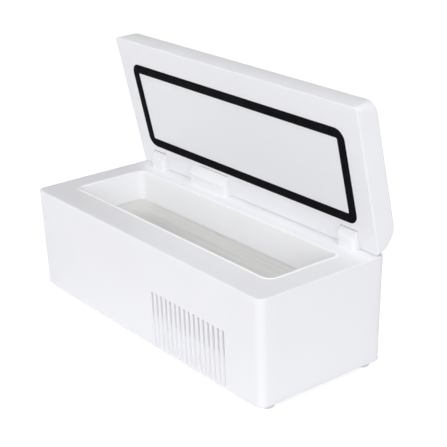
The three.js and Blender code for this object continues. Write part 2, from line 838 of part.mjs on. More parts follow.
const base = new THREE.Group();
addPiece(base, 'outer_case', outerCase(), white_plastic);
addPiece(base, 'bottom_cover', bottomCover(), white_plastic);
corners.forEach(([sx, sy], i) => {
  addPiece(base, `cover_screw_${i + 1}`, coverScrew(sx * boss_x, sy * boss_y), steel);
  const x = sx * (half_length - foot_inset_x);
  const y = sy * (half_width - foot_inset_y);
  addPiece(base, `foot_${i + 1}`, foot(x, y), foot_rubber);
});
addPiece(base, 'well_liner', wellLiner(), white_plastic);
addPiece(base, 'cold_plate', coldPlate(), aluminium);
addPiece(base, 'well_insulation', wellInsulation(), foam);
addPiece(base, 'temperature_sensor',
  rod(sensor_radius, sensor_x, 0, block_top - sensor_height, block_top), black_plastic);
addPiece(base, 'cold_block', coldBlock(), aluminium);
addPiece(base, 'peltier_module', peltierModule(), ceramic);
addPiece(base, 'heat_sink', heatSink(), aluminium);
clamp_x.forEach((x, i) => addPiece(base, `clamp_screw_${i + 1}`, clampScrew(x), steel));
addPiece(base, 'fan_frame', fanFrame(), black_plastic);
addPiece(base, 'fan_rotor', fanRotor(), black_plastic);
cell_rows.forEach((row, i) => addPiece(base, `battery_cell_${i + 1}`, batteryCell(row), cell_wrap));
addPiece(base, 'main_board', mainBoard(), circuit_board);
addPiece(base, 'dc_socket', dcSocket(), black_plastic);
pins.forEach((ear) => addPiece(base, ear.pin, hingePin(ear), steel));

// The lid is drawn shut, measured from the hinge line, and its group turns it open.
const lid_under = rim_z + lid_gap - hinge_z;
const lid_top = lid_under + lid_thickness;
const lid_rear = half_width - hinge_y;
const lid_front = lid_setback - half_width - hinge_y;
const plate_under = lid_top - lid_wall;
const frame_top = lid_under + lid_frame;
const notch_gap = running_gap + seat_gap;

// Centre line of the seal, round the well's edge, in the lid's own coordinates
const seal_x = well_length / 2 + gasket_offset;
const seal_centre_y = well_centre_y + gasket_shift - hinge_y;
const seal_y0 = seal_centre_y - well_width / 2 - gasket_offset;
const seal_y1 = seal_centre_y + well_width / 2 + gasket_offset;

function sealOutline(grow, radius) {
  return roundedOutline(-seal_x - grow, seal_x + grow, seal_y0 - grow, seal_y1 + grow, radius);
}

// Pocket for an ear, open below and behind: round about the hinge line, then a slope over the ear's back.
function notchProfile(reach, room) {
  const radius = reach + notch_gap + room;
  const top = Math.PI - THREE.MathUtils.degToRad(ear_slope_deg + notch_lead_deg);
  const foot = Math.PI + Math.asin((lid_wall - lid_under) / radius);
  const back = lid_rear + lid_wall;
  const profile = new THREE.Shape();
  profile.moveTo(radius * Math.cos(foot), radius * Math.sin(foot));
  profile.lineTo(back, lid_under - lid_wall);
  profile.lineTo(back, notch_back_top + room);
  profile.absarc(0, 0, radius, top, foot, false);
  return profile;
}

const display_y = lid_front + display_from_front;
const lcd_top = plate_under - seat_gap;
const control_top = lcd_top - lcd_thickness - seat_gap;
const control_bottom = control_top - control_thickness;
const buttons_x = window_length / 2 + button_from_window;
const buttons = [-1, 0, 1].map((row) => ({ x: buttons_x, y: display_y + row * button_pitch }));
const button_flange_top = plate_under - fit_gap;
const button_bottom = button_flange_top - button_flange_height;
const switch_top = button_bottom - button_travel - seat_gap;

function windowOutline(grow) {
  const x = window_length / 2 + grow;
  const y = window_width / 2 + grow;
  return roundedRectangle(-x, x, display_y - y, display_y + y, window_ledge + grow);
}

function lidShell() {
  const outside = solid(moulding({
    x: half_length,
    front: lid_front,
    rear: lid_rear,
    z0: lid_under,
    z1: lid_top,
    corner: lid_corner_radius,
    lowCorner: lid_mouth_corner_radius,
    bottom: lid_inner_radius,
    top: lid_top_radius,
    rearTop: lid_rear_radius,
  }));
  const hollow = solid(moulding({
    x: half_length - lid_wall,
    front: lid_front + lid_wall,
    rear: lid_rear - lid_wall,
    z0: frame_top,
    z1: plate_under,
    corner: lid_corner_radius - lid_wall,
    rearTop: lid_rear_radius - lid_wall,
  }));
  const knuckles = ears.map((ear) => {
    const side = ear.pin ? pin_overhang + lid_wall : lid_wall;
    return alongX(notchProfile(ear.reach, lid_wall), ear.x0 - side, ear.x1 + side, edge_steps);
  });
  const notches = ears.map((ear) => alongX(
    notchProfile(ear.reach, 0), ear.x0 - running_gap, ear.x1 + running_gap, edge_steps));
  const bores = pins.map((ear) => bar(
    pin_radius + fit_gap, ear.x0 - pin_overhang - fit_gap, ear.x1 + pin_overhang + fit_gap, 0, 0));
  const opening = alongZ(
    new THREE.Shape(sealOutline(-panel_ledge, panel_corner_radius)),
    lid_under - cut_margin, frame_top + cut_margin);
  const rebate = alongZ(
    new THREE.Shape(sealOutline(0, panel_corner_radius)),
    lid_under - cut_margin, lid_under + panel_thickness + seat_gap);
  const posts = corners.map(([sx, sy]) => rod(
    control_post_radius, sx * (control_length / 2 - control_post_inset),
    display_y + sy * (control_width / 2 - control_post_inset),
    control_top + seat_gap, plate_under + lid_wall / 2));
  const view_x = window_length / 2 - window_ledge;
  const view_y = window_width / 2 - window_ledge;
  const low = plate_under - cut_margin;
  const high = lid_top + cut_margin;
  const view = box(-view_x, view_x, display_y - view_y, display_y + view_y, low, high);
  const window_seat = alongZ(windowOutline(fit_gap), lid_top - window_thickness - seat_gap, high);
  const button_holes = buttons.map(({ x, y }) => rod(
    button_radius + fit_gap, x, y, low, high, round_steps));
  return outside
    .subtract(hollow.subtract(join(knuckles)))
    .add(join(posts))
    .subtract(join(notches))
    .subtract(join([...bores, opening, rebate]))
    .subtract(join([view, window_seat, ...button_holes]));
}

function lidPanel() {
  const sheet = new THREE.Shape(sealOutline(-fit_gap, panel_corner_radius));
  return alongZ(sheet, lid_under, lid_under + panel_thickness);
}

function lidGasket() {
  const ring = new THREE.Shape(sealOutline(gasket_width / 2, gasket_outer_radius));
  const inner = sealOutline(-gasket_width / 2, gasket_inner_radius);
  ring.holes.push(new THREE.Path(inner.reverse()));
  return alongZ(ring, lid_under - gasket_height, lid_under - seat_gap);
}

function lidInsulation() {
  const x = half_length - lid_wall - fit_gap;
  const y0 = lid_front + lid_wall + fit_gap;
  const y1 = -duct_reach - notch_gap - lid_wall - fit_gap;
  const slab = roundedRectangle(-x, x, y0, y1, lid_corner_radius - lid_wall);
  return alongZ(slab, frame_top + seat_gap, control_bottom - fit_gap);
}

function lcdModule() {
  const x = window_length / 2;
  const y = window_width / 2;
  return box(-x, x, display_y - y, display_y + y, lcd_top - lcd_thickness, lcd_top);
}

// The display board with a switch under each button.
function controlBoard() {
  const board = box(
    -control_length / 2, control_length / 2, display_y - control_width / 2, display_y + control_width / 2,
    control_bottom, control_top);
  const switches = buttons.map(({ x, y }) => box(
    x - switch_size / 2, x + switch_size / 2, y - switch_size / 2, y + switch_size / 2,
    control_bottom + control_thickness / 2, switch_top));
  return join([board, ...switches]);
}

function lidButton({ x, y }) {
  const top = lid_top + button_proud;
  const flange = button_radius + button_flange;
  return revolve([
    [0, button_bottom],
    [flange, button_bottom],
    [flange, button_flange_top],
    [button_radius, button_flange_top],
    [button_radius, top - button_proud / 2],
    [button_radius - button_proud / 2, top],
    [0, top],
  ], x, y, round_steps);
}

const lid = new THREE.Group();
lid.position.set(0, hinge_y, hinge_z);
lid.rotation.x = -THREE.MathUtils.degToRad(open_angle_deg);
addPiece(lid, 'lid_shell', lidShell(), white_plastic);
addPiece(lid, 'lid_panel', lidPanel(), panel_plastic);
addPiece(lid, 'lid_gasket', lidGasket(), black_rubber);
addPiece(lid, 'lid_insulation', lidInsulation(), foam);
addPiece(lid, 'display_window',
  alongZ(windowOutline(0), lid_top - window_thickness, lid_top), clear_plastic);
addPiece(lid, 'lcd_module', lcdModule(), lcd_glass);
addPiece(lid, 'control_board', controlBoard(), circuit_board);
buttons.forEach((place, i) => addPiece(lid, `button_${i + 1}`, lidButton(place), button_plastic));

const cooling_case = new THREE.Group();
cooling_case.name = 'cooling_case';
cooling_case.add(base, lid);

export default cooling_case;
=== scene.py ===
from math import asin, cos, pi, radians, sin

import bmesh
import bpy
import numpy as np
from mathutils import Matrix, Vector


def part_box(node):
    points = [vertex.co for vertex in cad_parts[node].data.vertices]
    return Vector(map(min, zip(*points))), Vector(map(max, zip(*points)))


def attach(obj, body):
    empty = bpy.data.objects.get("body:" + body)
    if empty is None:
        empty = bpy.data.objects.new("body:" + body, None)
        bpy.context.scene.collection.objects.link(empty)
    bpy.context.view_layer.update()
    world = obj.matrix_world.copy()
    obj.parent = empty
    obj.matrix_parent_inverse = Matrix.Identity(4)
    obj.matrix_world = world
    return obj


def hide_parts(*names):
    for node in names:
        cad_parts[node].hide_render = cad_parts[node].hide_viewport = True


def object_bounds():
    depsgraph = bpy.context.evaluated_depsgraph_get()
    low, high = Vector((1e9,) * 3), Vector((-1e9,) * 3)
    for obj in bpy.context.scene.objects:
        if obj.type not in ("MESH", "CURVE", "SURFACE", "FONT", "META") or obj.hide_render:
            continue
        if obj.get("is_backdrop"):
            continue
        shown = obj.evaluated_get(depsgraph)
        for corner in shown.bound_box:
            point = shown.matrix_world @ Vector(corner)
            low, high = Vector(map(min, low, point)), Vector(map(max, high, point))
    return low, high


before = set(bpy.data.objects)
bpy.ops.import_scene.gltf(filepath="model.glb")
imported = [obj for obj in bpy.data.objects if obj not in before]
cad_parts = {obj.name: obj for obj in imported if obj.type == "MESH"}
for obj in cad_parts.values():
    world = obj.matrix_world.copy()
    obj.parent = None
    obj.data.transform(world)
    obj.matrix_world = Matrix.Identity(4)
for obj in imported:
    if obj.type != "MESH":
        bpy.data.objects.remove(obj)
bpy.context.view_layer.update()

scene = bpy.context.scene
scene.view_settings.view_transform = "Standard"

# Outer case: one white ABS moulding, open below, with a flat deck round the mouth that takes the well.
# Its sides lean in a little towards the bottom, its top edge is eased, and both long walls are slotted
# beside the cooler. Sizes are in millimetres.
mm = 0.001
case_half_x = 100.0
case_half_y = 40.6
case_height = 57.7
case_wall = 2.6
case_draft = 1.1
case_corner = 4.4
case_top_round = 0.8
case_foot_round = 0.6
side_heights = (2, 16, 36)
deck_thickness = 2.4
deck_shares = (0.25, 0.5, 0.75, 1)
well_half_x = 84.8
well_half_y = 22.25
well_y = 0.1
well_corner = 4.2
least_corner = 0.5
mouth_grow = 1.8
vent_middle = 41.8
vent_count = 16
vent_pitch = 3.93
vent_half_width = 0.68
vent_end_share = 0.95
vent_bottom = 0.8
vent_top = 31.6
vent_flare = 0.17
vent_flare_depth = 0.9
vent_overshoot = 0.3
groove_depth = 1.05
skirt_height = 17.6
inlet_hole = 4.5
cut_margin = 1.0


def rounded_rectangle(x0, x1, y0, y1, radius, arc=12, side=12):
    """Outline, counter-clockwise: a quarter circle in each corner, with a radius for each or one for all, and
    evenly spaced points along the straight sides between them."""
    r = np.broadcast_to(np.asarray(radius, float), 4)
    centre_x = [x1, x0, x0, x1] + r * [-1, 1, 1, -1]
    centre_y = [y1, y1, y0, y0] + r * [-1, -1, 1, 1]
    centres = np.stack([centre_x, centre_y], -1)
    turn = (np.arange(4)[:, None] + np.linspace(0, 1, arc + 1)) * pi / 2
    arcs = centres[:, None] + r[:, None, None] * np.stack([np.cos(turn), np.sin(turn)], -1)
    ends = np.roll(arcs[:, 0], -1, axis=0)
    share = np.linspace(0, 1, side + 2)[1:-1, None]
    sides = arcs[:, -1][:, None] * (1 - share) + ends[:, None] * share
    return np.concatenate([arcs, sides], axis=1).reshape(-1, 2)


def circle(count):
    """Points evenly spaced round a circle of radius 1, counter-clockwise."""
    turn = np.linspace(0, 2 * pi, count, endpoint=False)
    return np.column_stack([np.cos(turn), np.sin(turn)])


def level(outline, z):
    """The outline laid flat at height z."""
    return np.column_stack([outline, np.full(len(outline), z)])


def quarter(steps):
    """Sine, and one minus cosine, of evenly spaced angles over a quarter turn."""
    turn = np.linspace(0, 1, steps + 1) * pi / 2
    return np.sin(turn), 1 - np.cos(turn)


def smooth_edges(mesh, sharp_from=32):
    """Smooth shading, kept crisp along edges that turn more than the angle."""
    mesh.polygons.foreach_set("use_smooth", np.ones(len(mesh.polygons), bool))
    mesh.set_sharp_from_angle(angle=radians(sharp_from))
    return mesh


def skin(name, rows, ring=False):
    """Surface through a stack of outlines: each point joins the next in its row and the one above it. A ring
    joins the last row to the first; otherwise the first and last rows are closed with flat caps."""
    rows = np.asarray(rows, float)
    count, around = rows.shape[:2]
    row = np.arange(count if ring else count - 1)[:, None]
    column = np.arange(around)
    here, after = row * around, (row + 1) % count * around
    following = (column + 1) % around
    quads = np.stack([here + column, here + following, after + following, after + column], -1)
    faces = quads.reshape(-1, 4).tolist()
    if not ring:
        faces += [column[::-1].tolist(), (column + (count - 1) * around).tolist()]
    mesh = bpy.data.meshes.new(name)
    mesh.from_pydata(rows.reshape(-1, 3) * mm, [], faces)
    piece = bpy.data.objects.new(name, smooth_edges(mesh))
    scene.collection.objects.link(piece)
    return piece


def joined(name, forms):
    """Several closed forms as one mesh."""
    gathered = bmesh.new()
    for form in forms:
        gathered.from_mesh(form.data)
        bpy.data.objects.remove(form)
    mesh = bpy.data.meshes.new(name)
    gathered.to_mesh(mesh)
    gathered.free()
    piece = bpy.data.objects.new(name, smooth_edges(mesh))
    scene.collection.objects.link(piece)
    return piece


def carve(piece, cutters, operation="DIFFERENCE"):
    """Takes closed forms out of a piece, or adds them to it, and leaves one plain mesh."""
    for cutter in cutters:
        cut = piece.modifiers.new(cutter.name, "BOOLEAN")
        cut.operation = operation
        cut.solver = "EXACT"
        cut.object = cutter
    made = bpy.data.meshes.new_from_object(piece.evaluated_get(bpy.context.evaluated_depsgraph_get()))
    piece.modifiers.clear()
    piece.data = smooth_edges(made)
    for cutter in cutters:
        bpy.data.objects.remove(cutter)
    return piece


def lean(z):
    """How far the case's sides stand in at a height."""
    return case_draft * (1 - z / case_height)


def case_outline(z, inset, radius):
    """The case's plan at a height, drawn in by an inset beyond the lean of its sides."""
    x, y = case_half_x - lean(z) - inset, case_half_y - lean(z) - inset
    return level(rounded_rectangle(-x, x, -y, y, radius), z)


def well_outline(grow):
    """The well's plan at the rim, grown by a distance."""
    x, y = well_half_x + grow, well_half_y + grow
    return rounded_rectangle(-x, x, well_y - y, well_y + y, max(well_corner + grow, least_corner))


rows = [case_outline(case_foot_round * rise, case_foot_round * (1 - out), case_corner - case_foot_round)
        for out, rise in zip(*quarter(4))]
rows += [case_outline(z, 0, case_corner) for z in side_heights]
rows += [case_outline(case_height - case_top_round * (1 - rise), case_top_round * inset,
                      case_corner - case_top_round * inset)
         for rise, inset in zip(*quarter(8))]
deck_edge, mouth_edge = rows[-1][:, :2], well_outline(mouth_grow)
rows += [level(deck_edge * (1 - t) + mouth_edge * t, case_height) for t in deck_shares]
inner_x, inner_y = case_half_x - case_wall, case_half_y - case_wall
inner_edge = rounded_rectangle(-inner_x, inner_x, -inner_y, inner_y, case_corner - case_wall)
deck_under = case_height - deck_thickness
rows += [level(mouth_edge, deck_under), level(inner_edge, deck_under), level(inner_edge, 0)]
case = skin("outer_case_moulding", rows, ring=True)


def vent(x, side):
    """Cutter for one vent: a narrow round-ended outline carried into the wall, wider towards the outer face.
    It goes through above the cover's skirt, and stops at a shallow floor in front of the skirt."""
    steps = [(vent_overshoot, 0), (-vent_flare_depth, 0), (-groove_depth, 0)]
    steps += [(-groove_depth, skirt_height), (-2 * case_wall, skirt_height)]
    outlines = []
    for step, lowest in steps[::side]:
        flare = vent_flare * max(0, 1 + step / vent_flare_depth)
        half = vent_half_width + flare
        foot, head = max(vent_bottom, lowest) - flare, vent_top + flare
        plan = rounded_rectangle(x - half, x + half, foot, head, half * vent_end_share, arc=5, side=1)
        depth = side * (case_half_y - lean(plan[:, 1]) + step)
        outlines.append(np.column_stack([plan[:, 0], depth, plan[:, 1]]))
    return skin("vent", outlines)


first_vent = vent_middle - (vent_count - 1) / 2 * vent_pitch
vents = joined("vents", [
    vent(first_vent + i * vent_pitch, side) for i in range(vent_count) for side in (-1, 1)])
inlet_low, inlet_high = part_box("dc_socket")
inlet_x, inlet_z = [(inlet_low[i] + inlet_high[i]) / 2 / mm for i in (0, 2)]
hole = circle(48)[::-1] * inlet_hole + [inlet_x, inlet_z]
inlet_cut = skin("inlet_cut", [
    np.column_stack([hole[:, 0], np.full(len(hole), y), hole[:, 1]])
    for y in (case_half_y - 3 * case_wall, case_half_y + cut_margin)])
carve(case, [vents, inlet_cut])


def add(tree, kind, values=(), **settings):
    """A node with its settings, and its inputs linked or set."""
    made = tree.nodes.new(kind)
    for key, value in settings.items():
        setattr(made, key, value)
    for socket, value in dict(values).items():
        if isinstance(value, bpy.types.NodeSocket):
            tree.links.new(value, made.inputs[socket])
        else:
            made.inputs[socket].default_value = value
    return made


def finish(name, **sockets):
    """A node material, its tree, its Principled shader and its object coordinates."""
    material = bpy.data.materials.new(name)
    material.use_nodes = True
    shader = material.node_tree.nodes["Principled BSDF"]
    for socket, value in sockets.items():
        shader.inputs[socket.replace("_", " ")].default_value = value
    place = add(material.node_tree, "ShaderNodeTexCoord").outputs["Object"]
    return material, material.node_tree, shader, place


def spread(tree, place, scale, low, high, detail=2.0):
    """A noise of the given scale per metre, whose middle part is spread from low to high."""
    noise = add(tree, "ShaderNodeTexNoise", {"Vector": place, "Scale": scale, "Detail": detail})
    return add(tree, "ShaderNodeMapRange", {
        "Value": noise.outputs["Fac"], "From Min": 0.3, "From Max": 0.7,
        "To Min": low, "To Max": high}).outputs[0]


def tinted(tree, shade, dark, light):
    """A colour that runs from dark to light with a shade from 0 to 1. The node's inputs 6 and 7 are its two
    colours, and its output 2 is the mixed one."""
    colours = {"Factor": shade, 6: (*dark, 1), 7: (*light, 1)}
    return add(tree, "ShaderNodeMix", colours, data_type="RGBA").outputs[2]


mould_gloss_scale = 90
mould_gloss_drift = 0.04
mould_fine_scale = 2600
mould_coarse_scale = 240
mould_coarse_share = 0.6
mould_depth = 0.00006
white_sheen = 0.35


def moulded(name, dark, light, rough, grain, drift=14, **sockets):
    """Moulded plastic: a faint drift of tone, uneven gloss, and the fine texture of a spark-eroded mould,
    which is the sum of a fine noise and a coarser, lower one."""
    material, tree, shader, place = finish(name, **sockets)
    tone = tinted(tree, spread(tree, place, drift, 0, 1), dark, light)
    gloss = spread(tree, place, mould_gloss_scale, rough - mould_gloss_drift, rough + mould_gloss_drift)
    fine = spread(tree, place, mould_fine_scale, 0, 1, 3)
    coarse = spread(tree, place, mould_coarse_scale, 0, mould_coarse_share)
    height = add(tree, "ShaderNodeMath", {0: fine, 1: coarse}, operation="ADD").outputs[0]
    bump = add(tree, "ShaderNodeBump", {"Strength": grain, "Distance": mould_depth, "Height": height})
    tree.links.new(tone, shader.inputs["Base Color"])
    tree.links.new(gloss, shader.inputs["Roughness"])
    tree.links.new(bump.outputs["Normal"], shader.inputs["Normal"])
    return material


def dress(piece, material, body=None, slot=None, *nodes):
    """Gives a piece its finish and its body, and hides the nodes it stands for. The record slot is not used.
    """
    piece.data.materials.clear()
    piece.data.materials.append(material)
    if body:
        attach(piece, body)
        if nodes:
            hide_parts(*nodes)
    return piece


white_abs = moulded("white_abs", (0.845, 0.845, 0.865), (0.87, 0.87, 0.89), rough=0.36, grain=0.25,
                    Specular_IOR_Level=white_sheen)
dress(case, white_abs, "base", "white_plastic", "outer_case")

# Hinge ears: three blocks moulded on the rear of the deck. The end ones carry the hinge pins, and the wide
# one, lower at its left end, covers the lead that runs up into the lid. Above an upright front each slopes
# back to fill the lid's pocket.
hinge_y = 37.3
hinge_z = 61.6
ear_front = 6.8
ear_crease = 2.1
ear_slope = radians(60)
ear_back = 2.8
ear_back_top = 2.4
ear_front_round = 2.0
ear_foot_round = 0.3
ear_back_round = 1.0
ear_crease_round = 0.8
least_round = 0.15
ear_sunk = 1.2
ear_foot = case_height - ear_sunk - hinge_z
ears = {
    "hinge_ear_left": {"x0": -86.8, "x1": -74.4, "reach": 7.2, "peak_round": 0.7, "end_round": 0.4},
    "lead_cover_side": {
        "x0": -48.8, "x1": -37.6, "reach": 8.1, "peak_round": 0.2, "end_round": 0.12, "back": 2.75},
    "lead_cover": {"x0": -41.6, "x1": -15.55, "reach": 9.1, "peak_round": 0.2, "end_round": 0.12},
    "hinge_ear_right": {"x0": 74.4, "x1": 86.8, "reach": 7.2, "peak_round": 0.7, "end_round": 0.4}}


def inset_at(distance, radius):
    """How far a quarter round draws a side in, at a distance from the face that it runs into."""
    left = np.clip(radius - distance, 0, radius)
    return radius - np.sqrt(radius ** 2 - left ** 2)


def rounded_polygon(corners, radii, inset, arc=6):
    """Outline of a convex polygon, counter-clockwise, drawn in by an inset, with an arc in each corner."""
    radii = np.maximum(np.asarray(radii) - inset, least_round)
    along = np.roll(corners, -1, axis=0) - corners
    after = np.column_stack([along[:, 1], -along[:, 0]]) / np.linalg.norm(along, axis=1)[:, None]
    before = np.roll(after, 1, axis=0)
    share = (radii + inset) / (1 + (before * after).sum(1))
    centres = corners - (before + after) * share[:, None]
    start = np.arctan2(before[:, 1], before[:, 0])
    sweep = (np.arctan2(after[:, 1], after[:, 0]) - start) % (2 * pi)
    turn = start[:, None] + sweep[:, None] * np.linspace(0, 1, arc + 1)
    arcs = radii[:, None, None] * np.stack([np.cos(turn), np.sin(turn)], -1)
    return (centres[:, None] + arcs).reshape(-1, 2)


def ear(name, x0, x1, reach, peak_round, end_round, back=ear_back):
    """A block: its side outline carried along X, drawn in at both ends by a small round. Its upright front is
    drawn back further, by a larger round, along the plane of the slope above it."""
    distance = np.unique(np.r_[ear_front_round * quarter(10)[1], end_round * quarter(5)[1]])
    rounds = (ear_foot_round, ear_foot_round, ear_back_round, peak_round, ear_crease_round)
    top_y, top_z = -reach * cos(ear_slope), reach * sin(ear_slope)
    steepness = (top_z - ear_crease) / (top_y + ear_front)
    places = np.r_[x0 + distance, x1 - distance[::-1]]
    outlines = []
    for x, away in zip(places, np.r_[distance, distance[::-1]]):
        drawn = inset_at(away, ear_front_round)
        front, crease = drawn - ear_front, ear_crease + steepness * drawn
        corners = np.array([
            (front, ear_foot), (back, ear_foot), (back, ear_back_top), (top_y, top_z), (front, crease)])
        plan = rounded_polygon(corners, rounds, inset_at(away, end_round))
        outlines.append(np.column_stack([np.full(len(plan), x), plan + [hinge_y, hinge_z]]))
    return skin(name, outlines)


blocks = {name: ear(name, **sizes) for name, sizes in ears.items()}
carve(blocks["lead_cover"], [blocks.pop("lead_cover_side")], "UNION")
for block in blocks.values():
    dress(block, white_abs, "base", "white_plastic")

# Bottom cover: a white tray that closes the case from below, with ring slots under the fan. Four steel screws
# in counterbores hold it to the bosses, and four soft feet are glued near its corners.
white_abs_inner = moulded("white_abs_inner", (0.8, 0.8, 0.815), (0.84, 0.84, 0.85), rough=0.45, grain=0.4)
dress(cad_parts["bottom_cover"], white_abs_inner)

metal_tone_scale = 420
metal_gloss_scale = 700
metal_gloss_drift = 0.08
scratch_scale = 1500
scratch_depth = 0.00004


def metal(name, dark, light, rough, streak=(1, 1, 1), grain=0.15):
    """Worked metal: noises for tone, gloss and fine scratches, all drawn out into streaks along one axis."""
    material, tree, shader, place = finish(name, Metallic=1.0)
    drawn = add(tree, "ShaderNodeMapping", {"Vector": place, "Scale": streak}).outputs[0]
    tone = tinted(tree, spread(tree, drawn, metal_tone_scale, 0, 1, 4), dark, light)
    gloss = spread(tree, drawn, metal_gloss_scale, rough - metal_gloss_drift, rough + metal_gloss_drift, 3)
    scratches = spread(tree, drawn, scratch_scale, 0, 1, 4)
    bump = add(tree, "ShaderNodeBump", {"Strength": grain, "Distance": scratch_depth, "Height": scratches})
    tree.links.new(tone, shader.inputs["Base Color"])
    tree.links.new(gloss, shader.inputs["Roughness"])
    tree.links.new(bump.outputs["Normal"], shader.inputs["Normal"])
    return material


screw_steel = metal("screw_steel", (0.42, 0.43, 0.45), (0.55, 0.56, 0.58), rough=0.32)
for i in range(1, 5):
    dress(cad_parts[f"cover_screw_{i}"], screw_steel)

foot_radius = 3.6
foot_height = 2.8
foot_round = 0.9


def foot(name, x, y):
    """A round pad turned about its own axis: a flat top, a straight side and a rounded lower edge."""
    rise, side = quarter(8)
    radii = np.r_[foot_radius - foot_round * (1 - rise), foot_radius]
    heights = np.r_[-foot_height + foot_round * side, 0]
    return skin(name, [level(circle(48) * r + [x, y], z) for r, z in zip(radii, heights)])


foot_rubber = moulded("foot_rubber", (0.66, 0.66, 0.68), (0.74, 0.74, 0.76), rough=0.75, grain=0.6,
                      drift=60)
for i in range(1, 5):
    low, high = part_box(f"foot_{i}")
    pad = foot(f"foot_pad_{i}", (low.x + high.x) / 2 / mm, (low.y + high.y) / 2 / mm)
    dress(pad, foot_rubber, "base", "foot_rubber", f"foot_{i}")

# Well liner: a thin white tub with drafted walls that drops into the case's mouth. Its rolled lip stands a
# little proud of the deck and is bevelled down to it, and its floor carries the cold plate.
rim_z = case_height
well_floor = 40.7
plate_thickness = 1.5
liner_wall = 1.5
well_draft = 0.8
wall_shares = (0.7, 0.35)
lip_width = 2.5
lip_height = 0.5
lip_roll = 0.8
lip_edge = 0.06
bevel_end = 1.45
bevel_drop = 0.43
seat_gap = 0.1
floor_ledge = 9.0
lip_top = rim_z + lip_height
lip_under = rim_z + seat_gap / 2
liner_floor = well_floor - plate_thickness - seat_gap
liner_under = liner_floor - liner_wall
wall_top = lip_top - lip_roll
liner_rows = [(-floor_ledge, liner_floor), (-well_draft, liner_floor)]
liner_rows += [(-well_draft * t, wall_top - (wall_top - liner_floor) * t) for t in wall_shares]
liner_rows += [(lip_roll * out, lip_top - lip_roll * (1 - rise)) for rise, out in zip(*quarter(8))]
liner_rows += [(bevel_end, lip_top - bevel_drop), (lip_width, rim_z + lip_edge)]
liner_rows += [(lip_width, lip_under), (liner_wall, lip_under)]
liner_rows += [(liner_wall - well_draft, liner_under), (-floor_ledge, liner_under)]
liner = skin("well_tub", [level(well_outline(grow), z) for grow, z in liner_rows[::-1]], ring=True)
liner_white = moulded("liner_white", (0.87, 0.87, 0.885), (0.9, 0.9, 0.91), rough=0.32, grain=0.15,
                      Specular_IOR_Level=white_sheen)
dress(liner, liner_white, "base", "white_plastic", "well_liner")

# Cold plate: the well's floor, a sheet of aluminium brushed along its length. Its edge is eased, and it is
# bonded to the cold block through an opening in the tub's floor.
plate_gap = 0.3
plate_round = 0.4
plate_rows = [(0, well_floor - plate_thickness)]
plate_rows += [(plate_round * out, well_floor - plate_round * (1 - rise)) for rise, out in zip(*quarter(4))]
plate_edge = -well_draft - plate_gap
plate = skin("well_floor_plate", [level(well_outline(plate_edge - inset), z) for inset, z in plate_rows])
plate_aluminium = metal("plate_aluminium", (0.785, 0.785, 0.755), (0.86, 0.86, 0.83), rough=0.5,
                        streak=(0.03, 1, 1), grain=0.15)
dress(plate, plate_aluminium, "base", "aluminium", "cold_plate")

# Cooling stack below the well: foam round the tub, a sensor, an aluminium block, the thermoelectric module, a
# finned sink pulled up by two screws, and a fan that blows through the vents.
foam_white = moulded("foam_white", (0.78, 0.78, 0.74), (0.9, 0.9, 0.87), rough=0.85, grain=1.0, drift=300)
bare_aluminium = metal("bare_aluminium", (0.5, 0.5, 0.49), (0.62, 0.62, 0.61), rough=0.34,
                       streak=(1, 0.04, 1), grain=0.25)
black_plastic = moulded("black_plastic", (0.012, 0.012, 0.014), (0.022, 0.022, 0.025), rough=0.45,
                        grain=0.5, drift=120)
pale_ceramic = moulded("pale_ceramic", (0.78, 0.76, 0.71), (0.88, 0.87, 0.82), rough=0.6, grain=0.5,
                       drift=200)
for node, look in {
        "well_insulation": foam_white, "temperature_sensor": black_plastic, "cold_block": bare_aluminium,
        "peltier_module": pale_ceramic, "heat_sink": bare_aluminium, "clamp_screw_1": screw_steel,
        "clamp_screw_2": screw_steel, "fan_frame": black_plastic, "fan_rotor": black_plastic}.items():
    dress(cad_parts[node], look)

# Power: two cells in plastic wraps that lie in the tray's cradles, the main board on its posts, and the black
# inlet that is soldered to the board and shows in the rear wall.
cell_wrap = moulded("cell_wrap", (0.02, 0.11, 0.3), (0.035, 0.16, 0.42), rough=0.28, grain=0.1, drift=40)
board_green = moulded("board_green", (0.008, 0.07, 0.03), (0.02, 0.13, 0.06), rough=0.4, grain=0.4,
                      drift=700)
for node, look in {
        "battery_cell_1": cell_wrap, "battery_cell_2": cell_wrap, "main_board": board_green,
        "dc_socket": black_plastic}.items():
    dress(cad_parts[node], look)

# Hinge pins: two turned steel pins on the hinge line. Each is pressed through an end ear, and the lid's bores
# turn on what stands out of it.
for node in ("hinge_pin_left", "hinge_pin_right"):
    dress(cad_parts[node], screw_steel)

# Lid: a white moulding like a shallow tray, drawn shut about the hinge line and then swung open with it. Its
# rear top edge has a large round, its front leans out towards a crisp mouth edge, and pockets in its rear rim
# take the ears.
open_angle = radians(77.8)
lid_under = -2.7
lid_thickness = 13.6
lid_top = lid_under + lid_thickness
lid_front = -75.57
lid_front_draft = 1.83
lid_rear = 3.3
lid_corner = 6.5
lid_mouth_corner = 2.2
lid_mouth_round = 0.7
lid_mouth_crisp = 0.3
lid_top_round = 2.0
lid_rear_round = 9.6
lid_face_corner = 3.0
lid_face_insets = (4, 8, 12, 16, 20)
pocket_gap = 0.1
pocket_room = {
    "hinge_ear_left": 0.55, "lead_cover_side": 0.1, "lead_cover": 0.06, "hinge_ear_right": 0.55}
pocket_lead = radians(8)
pocket_back_top = 1.2
seal_half_x = 85.5
seal_front = -60.55
seal_rear = -13.25
panel_thickness = 1.4
panel_corner = 4.0
fit_gap = 0.3
window_half_y = 12.0
window_y = -42.9
window_thickness = 1.2
window_corner = 2.0
button_offset = 10.0
button_radius = 3.6
button_pitch = 11.0
button_well_depth = 6.0
button_well_chamfer = 0.4


def opened(piece):
    """Turns a form that was drawn shut, about the hinge line, to where the lid stands open."""
    swing = Matrix.Rotation(-open_angle, 4, "X")
    piece.data.transform(Matrix.Translation((0, hinge_y * mm, hinge_z * mm)) @ swing)
    return piece


